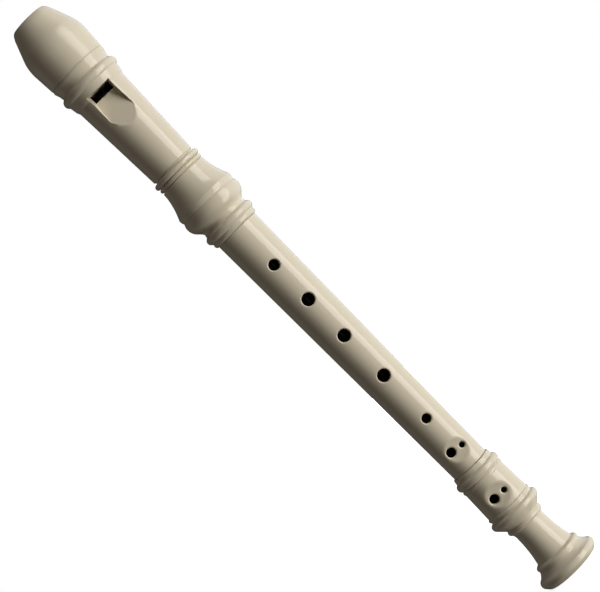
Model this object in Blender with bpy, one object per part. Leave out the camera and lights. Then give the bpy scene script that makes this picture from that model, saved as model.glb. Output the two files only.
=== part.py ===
"""Soprano recorder that comes apart into a head, a middle joint and a foot.

It stands on its bell. +Z runs up the bore, the origin is the centre of the bell's end face
and the finger holes look along -Y. All sizes are in metres.

A station is a pair: a distance along the axis and the radius there. The distance runs up from
the piece's lower end, or down from its upper end where the name's comment says so.
"""

import math

import bmesh
import bpy
from mathutils import Matrix, Vector

SEGMENTS = 48
HOLE_SEGMENTS = 24
SMOOTH_ANGLE = math.radians(28)
WELD = 1e-7

# Lengths along the axis, without the tenons.
FOOT_LENGTH = 0.06135
MIDDLE_LENGTH = 0.1398
HEAD_LENGTH = 0.0952
BEAK_LENGTH = 0.0289

# Clearances: the end gap at every seat, the radius gaps of a sliding and of a fixed fit.
SEAT_GAP = 0.0003
SLIDING_GAP = 0.0001
FIXED_GAP = 0.00015
EDGE_CHAMFER = 0.0003

# Tenons of the middle joint, and the seal rings in their grooves.
UPPER_TENON_RADIUS = 0.00855
UPPER_TENON_LENGTH = 0.0219
LOWER_TENON_RADIUS = 0.00735
LOWER_TENON_LENGTH = 0.0132
SEAL_WIDTH = 0.0026
SEAL_THICKNESS = 0.00075
SEAL_SETBACK = 0.0050
SEAL_GAP = 0.00005

# Bore radii.
HEAD_BORE = 0.00675
MIDDLE_BORE_TOP = 0.00670
MIDDLE_BORE_BOTTOM = 0.00485
FOOT_BORE_TOP = 0.00475
FOOT_CHOKE = (0.0250, 0.00445)
BELL_THROAT = (0.0052, 0.00570)
BELL_MOUTH_RADIUS = 0.0099
BELL_DISH_MIDDLE = (0.0036, 0.0068)

# Foot, stations up from the bell's face: rim, ring, flare, collar and bead below the holes.
RIM_FACE_RADIUS = 0.0129
RIM_CORNER = (0.00035, 0.0133)
RIM_UNDER = (0.0018, 0.0146)
RIM_PEAK = (0.0033, 0.0149)
RIM_TOP = (0.0046, 0.0142)
COVE_MIDDLE = (0.0066, 0.0119)
COVE_TOP = (0.0082, 0.01105)
RING_PEAK = (0.0094, 0.0114)
RING_SHOULDER = (0.0101, 0.0109)
FLARE_FOOT = (0.0108, 0.0095)
FLARE_MIDDLE = (0.0186, 0.00818)
FLARE_TOP = (0.0259, 0.00785)
COLLAR_UNDER = (0.0275, 0.0083)
COLLAR_PEAK = (0.0288, 0.00935)
COLLAR_TOP = (0.0300, 0.00875)
BEAD_FLANK = (0.0336, 0.0122)
BEAD_PEAK = (0.0347, 0.0127)
BEAD_TOP = (0.0361, 0.0122)
BEAD_STEP = (0.0366, 0.0111)
FILLET_PEAK = (0.0382, 0.0114)
BODY_FOOT = (0.0396, 0.01095)

# Foot, stations down from its lip: the lip, its bead and the fillet under it.
BODY_TOP = (0.0079, 0.0105)
LOW_FILLET = (0.0070, 0.01085)
LIP_GROOVE = (0.00625, 0.0102)
LIP_BEAD_UNDER = (0.00595, 0.0105)
LIP_BEAD = (0.00425, 0.01145)
LIP_BEAD_TOP = (0.00235, 0.0101)
LIP_RADIUS = 0.0098

# Middle joint, the radius at each shoulder.
MIDDLE_RADIUS_TOP = 0.0104
MIDDLE_RADIUS_BOTTOM = 0.0090

# Head, stations up from its lower end: the socket band, bead, neck, bulb and flare.
BAND_RADIUS = 0.0111
BAND_TOP = (0.0021, 0.01175)
HEAD_BEAD_UNDER = (0.0027, 0.01205)
HEAD_BEAD = (0.0043, 0.0128)
HEAD_BEAD_TOP = (0.0056, 0.0122)
NECK_FOOT = (0.0063, 0.0114)
NECK = (0.0078, 0.01105)
BULB_FOOT = (0.0087, 0.0116)
BULB_WAIST = (0.0105, 0.0134)
BULB_PEAK = (0.0136, 0.0148)
BULB_TOP = (0.0170, 0.0143)
RIDGE_FOOT = (0.0179, 0.01455)
RIDGE = (0.0194, 0.01465)
BELL_FLARE_TOP = (0.0317, 0.0114)
BELL_FLARE_POWER = 1.8

# Head, stations up from its lower end: the two small rings above the flare.
RING_GROOVE_LOW = (0.0322, 0.0109)
SMALL_RING = (0.0331, 0.0116)
RING_VALLEY = (0.0341, 0.01085)
LARGE_RING = (0.0355, 0.0122)
RING_GROOVE_HIGH = (0.03695, 0.01065)
BARREL_FOOT = (0.0378, 0.01085)

# Head, stations down from the mouthpiece's seam: the barrel's end, the bead and the collar.
BARREL_TOP = (0.0144, 0.01245)
WINDOW_FILLET = (0.0131, 0.0131)
FILLET_EDGE = (0.0111, 0.01345)
TOP_BEAD_UNDER = (0.0096, 0.0137)
TOP_BEAD = (0.00745, 0.0148)
TOP_BEAD_OVER = (0.00545, 0.0134)
TOP_GROOVE = (0.00495, 0.0132)
TOP_COLLAR_UNDER = (0.0027, 0.01365)
COLLAR_EDGE = (0.0011, 0.0143)
SEAM_RADIUS = 0.0143

# Mouthpiece shell, stations down from the tip.
TIP_RADIUS = 0.0086
TIP_CORNER = (0.0007, 0.0093)
TIP_FLANK = (0.0024, 0.0103)
BEAK_SHOULDER = (0.0118, 0.0139)
BEAK_SWELL = (0.0147, 0.01462)
BEAK_WIDEST = (0.0187, 0.0149)

# The beak's cut-away back: its depth behind the axis at the tip, its length and its curve.
BEAK_CUT_BACK = 0.0010
BEAK_CUT_LENGTH = 0.0252
BEAK_CUT_DEPTH = 0.0134
BEAK_CUT_POWER = 2.0
BEAK_CUT_STEPS = 10

# The spigot that carries the shell.
SPIGOT_RADIUS = 0.0098
SPIGOT_LENGTH = 0.0060

# Windway: half its width, and its roof and floor in front of the axis at both ends.
WINDWAY_HALF_WIDTH = 0.00515
ROOF_AT_WINDOW = 0.0077
FLOOR_AT_WINDOW = 0.0065
ROOF_AT_TIP = 0.0062
FLOOR_AT_TIP = 0.0048
BLOCK_SIDE_GAP = 0.0002

# Window: its upper edge below the seam, its height, and the labium and ramp under it.
WINDOW_TOP_DROP = 0.01275
WINDOW_HEIGHT = 0.0039
LABIUM_FRONT = 0.0072
LABIUM_THICKNESS = 0.00045
UNDERCUT_LENGTH = 0.0130
UNDERCUT_DEPTH = 0.0036
RAMP_LENGTH = 0.0163
RAMP_WALL_FLARE = 0.136

# Finger holes of the middle joint: the height over its lower shoulder and the radius.
SINGLE_HOLES = [
    ("first_finger", 0.1184, 0.00248),
    ("second_finger", 0.0981, 0.00280),
    ("third_finger", 0.0767, 0.00278),
    ("fourth_finger", 0.0531, 0.00276),
    ("fifth_finger", 0.0276, 0.00206),
]
THUMB_HOLE_HEIGHT = 0.1246
THUMB_HOLE_RADIUS = 0.0026

# Double holes: the height of the dish and the small hole, how much higher the large hole lies,
# and each hole's radius and distance beside the front line.
MIDDLE_PAIR_HEIGHT = 0.0091
MIDDLE_PAIR_RISE = 0.00085
FOOT_PAIR_HEIGHT = 0.04495
LARGE_HOLE_RADIUS = 0.00206
LARGE_HOLE_SIDE = -0.00265
SMALL_HOLE_RADIUS = 0.00128
SMALL_HOLE_SIDE = 0.0030
MIDDLE_DISH_DEPTH = 0.00175
MIDDLE_DISH_CURVE = 0.0080
FOOT_DISH_DEPTH = 0.00185
FOOT_DISH_CURVE = 0.0100

# The player turns the foot a little so that the last pair lies under the little finger.
FOOT_TWIST = math.radians(-7)

# Heights that follow from the lengths.
FOOT_TOP = FOOT_LENGTH
MIDDLE_BOTTOM = FOOT_TOP + SEAT_GAP
MIDDLE_TOP = MIDDLE_BOTTOM + MIDDLE_LENGTH
HEAD_BOTTOM = MIDDLE_TOP + SEAT_GAP
HEAD_TOP = HEAD_BOTTOM + HEAD_LENGTH
BEAK_BOTTOM = HEAD_TOP + SEAT_GAP
BEAK_TIP = BEAK_BOTTOM + BEAK_LENGTH
WINDOW_TOP = HEAD_TOP - WINDOW_TOP_DROP
LABIUM = WINDOW_TOP - WINDOW_HEIGHT
SPIGOT_TOP = HEAD_TOP + SPIGOT_LENGTH
REACH = 0.03


def clear_scene():
    """Removes the objects that a new Blender scene starts with."""
    for item in list(bpy.data.objects):
        bpy.data.objects.remove(item, do_unlink=True)


def material(name, colour, roughness, metallic=0.0):
    """A Principled material with the piece's colour, roughness and metallic value."""
    made = bpy.data.materials.new(name)
    made.use_nodes = True
    made.diffuse_color = (*colour, 1.0)
    shader = made.node_tree.nodes["Principled BSDF"]
    shader.inputs["Base Color"].default_value = (*colour, 1.0)
    shader.inputs["Roughness"].default_value = roughness
    shader.inputs["Metallic"].default_value = metallic
    return made


def arc(start, middle, end, steps=4):
    """Points of the circular arc from start through middle to end, without start."""
    (ax, ay), (bx, by), (cx, cy) = start, middle, end
    turn = 2 * (ax * (by - cy) + bx * (cy - ay) + cx * (ay - by))
    a2, b2, c2 = ax**2 + ay**2, bx**2 + by**2, cx**2 + cy**2
    centre_x = (a2 * (by - cy) + b2 * (cy - ay) + c2 * (ay - by)) / turn
    centre_y = (a2 * (cx - bx) + b2 * (ax - cx) + c2 * (bx - ax)) / turn
    radius = math.hypot(ax - centre_x, ay - centre_y)
    first = math.atan2(ay - centre_y, ax - centre_x)
    last = math.atan2(cy - centre_y, cx - centre_x)
    sweep = (last - first) % math.tau
    if turn < 0:
        sweep -= math.tau
    return [
        (
            centre_x + radius * math.cos(first + sweep * step / steps),
            centre_y + radius * math.sin(first + sweep * step / steps),
        )
        for step in range(1, steps + 1)
    ]


def flare(start, end, power, steps=6):
    """Points of a trumpet curve down from start to end, without start."""
    return [
        (
            start[0] + (end[0] - start[0]) * (step / steps) ** power,
            start[1] + (end[1] - start[1]) * step / steps,
        )
        for step in range(1, steps + 1)
    ]


def up(base, station):
    """Radius and height of a station that is measured up from base."""
    return (station[1], base + station[0])


def down(top, station):
    """Radius and height of a station that is measured down from top."""
    return (station[1], top - station[0])


def piece(name, mesh, look, parent):
    """Links a mesh as one named piece with its material, carried by a parent empty."""
    mesh.shade_smooth()
    mesh.set_sharp_from_angle(angle=SMOOTH_ANGLE)
    made = bpy.data.objects.new(name, mesh)
    bpy.context.collection.objects.link(made)
    made.data.materials.append(look)
    made.parent = parent
    return made


def turned_mesh(name, outline, closed=True):
    """Turns an outline of (radius, height) points round the bore's axis."""
    shape = bmesh.new()
    verts = [shape.verts.new((radius, 0.0, height)) for radius, height in outline]
    edges = [shape.edges.new(pair) for pair in zip(verts, verts[1:])]
    if closed:
        edges.append(shape.edges.new((verts[-1], verts[0])))
    bmesh.ops.spin(
        shape,
        geom=verts + edges,
        cent=(0, 0, 0),
        axis=(0, 0, 1),
        angle=math.tau,
        steps=SEGMENTS,
        use_merge=True,
    )
    bmesh.ops.remove_doubles(shape, verts=shape.verts, dist=WELD)
    return outward(name, shape)


def outward(name, shape):
    """Turns the faces of a closed shape outward and stores it as a mesh."""
    bmesh.ops.recalc_face_normals(shape, faces=shape.faces)
    if shape.calc_volume(signed=True) < 0:
        bmesh.ops.reverse_faces(shape, faces=shape.faces)
    mesh = bpy.data.meshes.new(name)
    shape.to_mesh(mesh)
    shape.free()
    return mesh


def prism_mesh(name, side_view, half_width):
    """A solid whose side view is a polygon of (y, z) points, as wide along X as stated."""
    shape = bmesh.new()
    verts = [shape.verts.new((-half_width, y, z)) for y, z in side_view]
    face = shape.faces.new(verts)
    grown = bmesh.ops.extrude_face_region(shape, geom=[face])["geom"]
    moved = [item for item in grown if isinstance(item, bmesh.types.BMVert)]
    bmesh.ops.translate(shape, verts=moved, vec=(2 * half_width, 0, 0))
    return outward(name, shape)


def cylinder_mesh(name, radius, length, turn, segments):
    """A cylinder round the origin whose axis is Z turned by a rotation matrix."""
    shape = bmesh.new()
    bmesh.ops.create_cone(
        shape,
        cap_ends=True,
        segments=segments,
        radius1=radius,
        radius2=radius,
        depth=length,
        matrix=turn,
    )
    return outward(name, shape)


def cut(body, name, mesh, location=(0, 0, 0), keep=False):
    """Cuts a mesh out of a piece with a Boolean, or joins it on where keep is set."""
    tool = bpy.data.objects.new(name, mesh)
    bpy.context.collection.objects.link(tool)
    tool.location = location
    tool.parent = body
    tool.hide_render = True
    tool.display_type = "WIRE"
    boolean = body.modifiers.new(name, "BOOLEAN")
    boolean.operation = "UNION" if keep else "DIFFERENCE"
    boolean.solver = "EXACT"
    boolean.object = tool


def drill(body, name, radius, height, side=0.0, front=True):
    """Drills a hole from outside to the bore, beside the front or the back line."""
    mesh = cylinder_mesh(name, radius, REACH, Matrix.Rotation(math.pi / 2, 4, "X"), HOLE_SEGMENTS)
    middle = -REACH / 2 if front else REACH / 2
    cut(body, name, mesh, (side, middle, height))


def scoop(body, name, surface, depth, curve, height):
    """Cuts the shallow dish that a double hole lies in."""
    mesh = cylinder_mesh(name, curve, REACH, Matrix.Rotation(math.pi / 2, 4, "Y"), 2 * SEGMENTS)
    cut(body, name, mesh, (0, -(surface - depth + curve), height))


def double_hole(body, name, height, rise=0.0):
    """Drills a large and a small hole side by side, the large one higher by the rise."""
    drill(body, name + "_large", LARGE_HOLE_RADIUS, height + rise, LARGE_HOLE_SIDE)
    drill(body, name + "_small", SMALL_HOLE_RADIUS, height, SMALL_HOLE_SIDE)


def joint_empty(name, height, parent=None):
    """An empty on the bore's axis that carries what moves at one joint."""
    empty = bpy.data.objects.new(name, None)
    bpy.context.collection.objects.link(empty)
    empty.empty_display_size = BEAK_LENGTH
    empty.parent = parent
    empty.location = (0, 0, height)
    return empty


def groove(tenon_radius, low, high):
    """The seal groove's four corners in a tenon, from its upper edge down."""
    floor = tenon_radius - SEAL_THICKNESS - SEAL_GAP
    return [(tenon_radius, high), (floor, high), (floor, low), (tenon_radius, low)]


def middle_radius(height):
    """The middle joint's outer radius at a height over its lower shoulder."""
    share = height / MIDDLE_LENGTH
    return MIDDLE_RADIUS_BOTTOM + (MIDDLE_RADIUS_TOP - MIDDLE_RADIUS_BOTTOM) * share


def foot_outline():
    """The foot's section: outside from the lip down to the bell, then up the bore."""
    top = FOOT_TOP
    socket = LOWER_TENON_RADIUS + SLIDING_GAP
    socket_floor = MIDDLE_BOTTOM - LOWER_TENON_LENGTH - SEAT_GAP
    points = [(socket + EDGE_CHAMFER, top), (LIP_RADIUS - EDGE_CHAMFER, top)]
    points.append((LIP_RADIUS, top - EDGE_CHAMFER))
    points.append(down(top, LIP_BEAD_TOP))
    points += arc(points[-1], down(top, LIP_BEAD), down(top, LIP_BEAD_UNDER))
    points.append(down(top, LIP_GROOVE))
    points += arc(points[-1], down(top, LOW_FILLET), down(top, BODY_TOP), 3)
    points.append(up(0, BODY_FOOT))
    points += arc(points[-1], up(0, FILLET_PEAK), up(0, BEAD_STEP), 3)
    points.append(up(0, BEAD_TOP))
    points += arc(points[-1], up(0, BEAD_PEAK), up(0, BEAD_FLANK), 3)
    points.append(up(0, COLLAR_TOP))
    points += arc(points[-1], up(0, COLLAR_PEAK), up(0, COLLAR_UNDER), 3)
    points.append(up(0, FLARE_TOP))
    points += arc(points[-1], up(0, FLARE_MIDDLE), up(0, FLARE_FOOT))
    points.append(up(0, RING_SHOULDER))
    points += arc(points[-1], up(0, RING_PEAK), up(0, COVE_TOP), 3)
    points += arc(points[-1], up(0, COVE_MIDDLE), up(0, RIM_TOP), 3)
    points += arc(points[-1], up(0, RIM_PEAK), up(0, RIM_UNDER), 3)
    points += [up(0, RIM_CORNER), (RIM_FACE_RADIUS, 0.0), (BELL_MOUTH_RADIUS, 0.0)]
    points += arc(points[-1], up(0, BELL_DISH_MIDDLE), up(0, BELL_THROAT))
    points += [up(0, FOOT_CHOKE), (FOOT_BORE_TOP, socket_floor), (socket, socket_floor)]
    points.append((socket, top - EDGE_CHAMFER))
    return points


def middle_outline():
    """The middle joint's section: upper tenon, body and lower tenon, then up the bore."""
    top = MIDDLE_TOP + UPPER_TENON_LENGTH
    bottom = MIDDLE_BOTTOM - LOWER_TENON_LENGTH
    seal_high = top - SEAL_SETBACK
    seal_low = bottom + SEAL_SETBACK
    points = [(UPPER_TENON_RADIUS - EDGE_CHAMFER, top), (UPPER_TENON_RADIUS, top - EDGE_CHAMFER)]
    points += groove(UPPER_TENON_RADIUS, seal_high - SEAL_WIDTH, seal_high)
    points += [(UPPER_TENON_RADIUS, MIDDLE_TOP), (MIDDLE_RADIUS_TOP, MIDDLE_TOP)]
    points += [(MIDDLE_RADIUS_BOTTOM, MIDDLE_BOTTOM), (LOWER_TENON_RADIUS, MIDDLE_BOTTOM)]
    points += groove(LOWER_TENON_RADIUS, seal_low, seal_low + SEAL_WIDTH)
    points += [(LOWER_TENON_RADIUS, bottom + EDGE_CHAMFER), (LOWER_TENON_RADIUS - EDGE_CHAMFER, bottom)]
    points += [(MIDDLE_BORE_BOTTOM, bottom), (MIDDLE_BORE_TOP, top)]
    return points


def seal_outline(tenon_radius, low):
    """A seal ring's section in its groove, rounded where it presses on the socket."""
    inner = tenon_radius - SEAL_THICKNESS
    outer = tenon_radius + SLIDING_GAP - SEAL_GAP
    bottom = low + SEAL_GAP
    top = low + SEAL_WIDTH - SEAL_GAP
    edge = (inner + outer) / 2
    return [(edge, top)] + arc((edge, top), (outer, (top + bottom) / 2), (edge, bottom)) + [
        (inner, bottom),
        (inner, top),
    ]


def head_outline():
    """The head's section: spigot, beads and bulb down the outside, then up the bore."""
    low, top = HEAD_BOTTOM, HEAD_TOP
    socket = UPPER_TENON_RADIUS + SLIDING_GAP
    socket_floor = MIDDLE_TOP + UPPER_TENON_LENGTH + SEAT_GAP
    points = [(SPIGOT_RADIUS - EDGE_CHAMFER, SPIGOT_TOP), (SPIGOT_RADIUS, SPIGOT_TOP - EDGE_CHAMFER)]
    points += [(SPIGOT_RADIUS, top), (SEAM_RADIUS - EDGE_CHAMFER, top)]
    points += [down(top, COLLAR_EDGE), down(top, TOP_COLLAR_UNDER), down(top, TOP_GROOVE)]
    points.append(down(top, TOP_BEAD_OVER))
    points += arc(points[-1], down(top, TOP_BEAD), down(top, TOP_BEAD_UNDER), 5)
    points += [down(top, FILLET_EDGE), down(top, WINDOW_FILLET), down(top, BARREL_TOP)]
    points.append(up(low, BARREL_FOOT))
    points.append(up(low, RING_GROOVE_HIGH))
    points += arc(points[-1], up(low, LARGE_RING), up(low, RING_VALLEY))
    points += arc(points[-1], up(low, SMALL_RING), up(low, RING_GROOVE_LOW), 3)
    points.append(up(low, BELL_FLARE_TOP))
    points += flare(points[-1], up(low, RIDGE), BELL_FLARE_POWER)
    points.append(up(low, RIDGE_FOOT))
    points.append(up(low, BULB_TOP))
    points += arc(points[-1], up(low, BULB_PEAK), up(low, BULB_WAIST), 6)
    points.append(up(low, BULB_FOOT))
    points.append(up(low, NECK))
    points.append(up(low, NECK_FOOT))
    points.append(up(low, HEAD_BEAD_TOP))
    points += arc(points[-1], up(low, HEAD_BEAD), up(low, HEAD_BEAD_UNDER), 2)
    points += [up(low, BAND_TOP), (BAND_RADIUS, low + EDGE_CHAMFER), (BAND_RADIUS - EDGE_CHAMFER, low)]
    points += [(socket + EDGE_CHAMFER, low), (socket, low + EDGE_CHAMFER), (socket, socket_floor)]
    points += [(HEAD_BORE, socket_floor), (HEAD_BORE, SPIGOT_TOP)]
    return points


def beak_outline():
    """The shell's section, from the tip's centre down its outside and up into its socket."""
    tip, low = BEAK_TIP, BEAK_BOTTOM
    socket = SPIGOT_RADIUS + FIXED_GAP
    socket_floor = SPIGOT_TOP + SEAT_GAP
    points = [(0.0, tip), (TIP_RADIUS, tip), down(tip, TIP_CORNER), down(tip, TIP_FLANK)]
    points.append(down(tip, BEAK_SHOULDER))
    points += arc(points[-1], down(tip, BEAK_SWELL), down(tip, BEAK_WIDEST))
    points += [(SEAM_RADIUS, low + EDGE_CHAMFER), (SEAM_RADIUS - EDGE_CHAMFER, low)]
    points += [(socket + EDGE_CHAMFER, low), (socket, low + EDGE_CHAMFER), (socket, socket_floor)]
    points.append((0.0, socket_floor))
    return points


def windway_line(at_window, at_tip, height):
    """How far the windway's roof or floor lies in front of the axis at a height."""
    share = (height - WINDOW_TOP) / (BEAK_TIP - WINDOW_TOP)
    return at_window + (at_tip - at_window) * share


def make_foot(look, carrier):
    """The foot joint with its socket, bell and turned double hole."""
    foot = piece("foot_tube", turned_mesh("foot_tube", foot_outline()), look, carrier)
    foot.rotation_euler.z = FOOT_TWIST
    share = (FOOT_PAIR_HEIGHT - BODY_FOOT[0]) / (FOOT_TOP - BODY_TOP[0] - BODY_FOOT[0])
    surface = BODY_FOOT[1] + (BODY_TOP[1] - BODY_FOOT[1]) * share
    scoop(foot, "foot_dish", surface, FOOT_DISH_DEPTH, FOOT_DISH_CURVE, FOOT_PAIR_HEIGHT)
    double_hole(foot, "seventh_finger", FOOT_PAIR_HEIGHT)
    return foot


def make_middle(look, carrier):
    """The middle joint with two tenons, the finger holes and the thumb hole."""
    middle = piece("middle_tube", turned_mesh("middle_tube", middle_outline()), look, carrier)
    for name, height, radius in SINGLE_HOLES:
        drill(middle, name, radius, MIDDLE_BOTTOM + height)
    pair = MIDDLE_BOTTOM + MIDDLE_PAIR_HEIGHT
    surface = middle_radius(MIDDLE_PAIR_HEIGHT)
    scoop(middle, "middle_dish", surface, MIDDLE_DISH_DEPTH, MIDDLE_DISH_CURVE, pair)
    double_hole(middle, "sixth_finger", pair, MIDDLE_PAIR_RISE)
    drill(middle, "thumb", THUMB_HOLE_RADIUS, MIDDLE_BOTTOM + THUMB_HOLE_HEIGHT, front=False)
    return middle


def make_seal(name, tenon_radius, low, look, carrier):
    """One elastic ring in its tenon's groove."""
    return piece(name, turned_mesh(name, seal_outline(tenon_radius, low)), look, carrier)


def make_head(look, carrier):
    """The head joint with its windway channel, window, undercut labium and ramp."""
    head = piece("head_tube", turned_mesh("head_tube", head_outline()), look, carrier)
    above = SPIGOT_TOP + REACH
    channel = [
        (-windway_line(ROOF_AT_WINDOW, ROOF_AT_TIP, above), above),
        (-ROOF_AT_WINDOW, WINDOW_TOP),
        (-REACH, WINDOW_TOP),
        (-REACH, LABIUM),
        (-(LABIUM_FRONT - LABIUM_THICKNESS), LABIUM),
        (-UNDERCUT_DEPTH, LABIUM - UNDERCUT_LENGTH),
        (0.0, LABIUM - UNDERCUT_LENGTH),
        (0.0, above),
    ]
    cut(head, "windway_channel", prism_mesh("windway_channel", channel, WINDWAY_HALF_WIDTH))
    cut(head, "ramp", ramp_mesh())
    return head


def ramp_mesh():
    """The cutter of the sloping ramp: a flat floor between walls that part downwards."""
    start = LABIUM + WINDOW_HEIGHT / 2
    barrel_share = (HEAD_TOP - BARREL_TOP[0] - LABIUM + RAMP_LENGTH) / (
        HEAD_TOP - BARREL_TOP[0] - HEAD_BOTTOM - BARREL_FOOT[0]
    )
    surface = BARREL_TOP[1] + (BARREL_FOOT[1] - BARREL_TOP[1]) * barrel_share
    slope = (surface - LABIUM_FRONT) / RAMP_LENGTH
    end = LABIUM - 2 * RAMP_LENGTH
    shape = bmesh.new()
    corners = []
    for height in (start, end):
        floor = -(LABIUM_FRONT + slope * (LABIUM - height))
        half = WINDWAY_HALF_WIDTH + RAMP_WALL_FLARE * (LABIUM - height)
        for x, y in ((-half, floor), (half, floor), (half, -REACH), (-half, -REACH)):
            corners.append(shape.verts.new(Vector((x, y, height))))
    bmesh.ops.convex_hull(shape, input=corners)
    return outward("ramp", shape)


def make_block(look, carrier):
    """The plug in the head's bore, with the rib whose flat top is the windway's floor."""
    radius = HEAD_BORE - FIXED_GAP
    outline = [(0.0, SPIGOT_TOP), (radius, SPIGOT_TOP), (radius, WINDOW_TOP), (0.0, WINDOW_TOP)]
    block = piece("windway_block", turned_mesh("windway_block", outline, closed=False), look, carrier)
    rib = [
        (-FLOOR_AT_WINDOW, WINDOW_TOP),
        (0.0, WINDOW_TOP),
        (0.0, SPIGOT_TOP),
        (-windway_line(FLOOR_AT_WINDOW, FLOOR_AT_TIP, SPIGOT_TOP), SPIGOT_TOP),
    ]
    cut(block, "rib", prism_mesh("rib", rib, WINDWAY_HALF_WIDTH - BLOCK_SIDE_GAP), keep=True)
    low, high = WINDOW_TOP - REACH, SPIGOT_TOP + REACH
    over = [
        (-windway_line(FLOOR_AT_WINDOW, FLOOR_AT_TIP, low), low),
        (-windway_line(FLOOR_AT_WINDOW, FLOOR_AT_TIP, high), high),
        (-REACH, high),
        (-REACH, low),
    ]
    cut(block, "windway_floor", prism_mesh("windway_floor", over, REACH))
    return block


def make_beak(look, carrier):
    """The mouthpiece shell, cut away behind and pierced by the windway."""
    beak = piece("beak_cap", turned_mesh("beak_cap", beak_outline(), closed=False), look, carrier)
    start = BEAK_TIP - BEAK_CUT_LENGTH
    back = [(REACH, start), (REACH, BEAK_TIP + REACH), (BEAK_CUT_BACK, BEAK_TIP + REACH)]
    for step in range(BEAK_CUT_STEPS + 1):
        share = step / BEAK_CUT_STEPS
        depth = BEAK_CUT_DEPTH * share**BEAK_CUT_POWER
        back.append((BEAK_CUT_BACK + depth, BEAK_TIP - BEAK_CUT_LENGTH * share))
    cut(beak, "beak_cut", prism_mesh("beak_cut", back, REACH))
    low, high = SPIGOT_TOP, BEAK_TIP + SEAT_GAP
    slot = [
        (-windway_line(ROOF_AT_WINDOW, ROOF_AT_TIP, low), low),
        (-windway_line(ROOF_AT_WINDOW, ROOF_AT_TIP, high), high),
        (-windway_line(FLOOR_AT_WINDOW, FLOOR_AT_TIP, high), high),
        (-windway_line(FLOOR_AT_WINDOW, FLOOR_AT_TIP, low), low),
    ]
    cut(beak, "windway_mouth", prism_mesh("windway_mouth", slot, WINDWAY_HALF_WIDTH))
    return beak


def main():
    """Builds the recorder from its bell up."""
    clear_scene()
    ivory = (0.72, 0.66, 0.53)
    looks = {
        name: material(name, ivory, 0.28)
        for name in ("foot_plastic", "middle_plastic", "head_plastic", "beak_plastic", "block_plastic")
    }
    rubber = material("seal_rubber", (0.05, 0.05, 0.05), 0.7)

    foot = joint_empty("foot_body", 0.0)
    lower_seal = joint_empty("foot_slide", 0.0, foot)
    middle = joint_empty("foot_turn", 0.0, lower_seal)
    upper_seal = joint_empty("head_turn", 0.0, middle)
    head = joint_empty("head_slide", 0.0, upper_seal)

    lower_groove = MIDDLE_BOTTOM - LOWER_TENON_LENGTH + SEAL_SETBACK
    upper_groove = MIDDLE_TOP + UPPER_TENON_LENGTH - SEAL_SETBACK - SEAL_WIDTH
    make_foot(looks["foot_plastic"], foot)
    make_seal("lower_tenon_seal", LOWER_TENON_RADIUS, lower_groove, rubber, lower_seal)
    make_middle(looks["middle_plastic"], middle)
    make_seal("upper_tenon_seal", UPPER_TENON_RADIUS, upper_groove, rubber, upper_seal)
    make_head(looks["head_plastic"], head)
    make_block(looks["block_plastic"], head)
    make_beak(looks["beak_plastic"], head)


main()
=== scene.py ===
# %% [markdown]
# # A moulded soprano recorder
#
# The recorder is three glossy ivory mouldings, head, middle joint and foot, that slide into one
# another. A measured model of it comes in first. This lesson then makes the fine surface: soft
# edges, rounded hole rims, the cut of the window, and the plastic itself, lit by one tall softbox
# and two weak fills.

import cmath
import math

import bmesh
import bpy
import numpy as np
from mathutils import Matrix, Vector


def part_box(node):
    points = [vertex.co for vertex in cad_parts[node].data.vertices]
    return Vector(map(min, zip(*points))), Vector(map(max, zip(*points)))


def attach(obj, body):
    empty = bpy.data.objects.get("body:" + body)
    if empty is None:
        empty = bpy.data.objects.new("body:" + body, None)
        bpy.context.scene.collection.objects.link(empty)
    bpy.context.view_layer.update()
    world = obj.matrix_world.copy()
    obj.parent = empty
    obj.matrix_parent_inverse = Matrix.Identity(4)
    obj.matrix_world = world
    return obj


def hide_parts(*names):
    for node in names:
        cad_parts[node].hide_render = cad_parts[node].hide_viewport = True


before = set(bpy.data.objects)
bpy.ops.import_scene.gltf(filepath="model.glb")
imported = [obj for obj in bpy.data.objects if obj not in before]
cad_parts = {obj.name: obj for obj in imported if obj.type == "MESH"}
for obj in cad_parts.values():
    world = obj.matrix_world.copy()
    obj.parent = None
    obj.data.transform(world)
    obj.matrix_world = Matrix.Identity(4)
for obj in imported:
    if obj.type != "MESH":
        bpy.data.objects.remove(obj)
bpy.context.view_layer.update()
MM = 0.001

# %% [markdown]
# Every height hangs on the measured model, so the dressed pieces meet where the measured ones do.
# A shoulder reaches past its measured place by the first length below, at the mouthpiece by the
# second. The gap that is left is the fine dark line at each joint.

# %% Heights of the joints
CLOSE = 0.1 * MM
BEAK_CLOSE = 0.13 * MM
SEAT_GAP = 0.3 * MM
SLIDING_GAP = 0.1 * MM
FOOT_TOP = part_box("foot_tube")[1].z
HEAD_BOTTOM, SPIGOT_TOP = (corner.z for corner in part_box("head_tube"))
TENON_LOW, TENON_HIGH = (corner.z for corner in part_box("middle_tube"))
BEAK_BOTTOM, BEAK_TIP = (corner.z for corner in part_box("beak_cap"))
MIDDLE_BOTTOM = FOOT_TOP + SEAT_GAP
MIDDLE_TOP = HEAD_BOTTOM - SEAT_GAP
HEAD_TOP = BEAK_BOTTOM - SEAT_GAP
print("shoulders, mm:", [round(z / MM, 1) for z in (FOOT_TOP, MIDDLE_TOP, HEAD_TOP, BEAK_TIP)])

# %% [markdown]
# A turned piece is drawn as half of its section. Each row below names one station of the outline
# with its distance from a shoulder and its radius, in millimetres. A row marked round is the
# middle of an arc between its neighbours, and one marked trumpet ends a curve that opens faster
# and faster.

# %% Tools for outlines
ARC_STEPS = 24
PACE = 0.05 * MM
CORNER = 0.11 * MM
TOLERANCE = 0.002 * MM
LONGEST = 3.0 * MM
TRUMPET_POWER = 1.8


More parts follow.
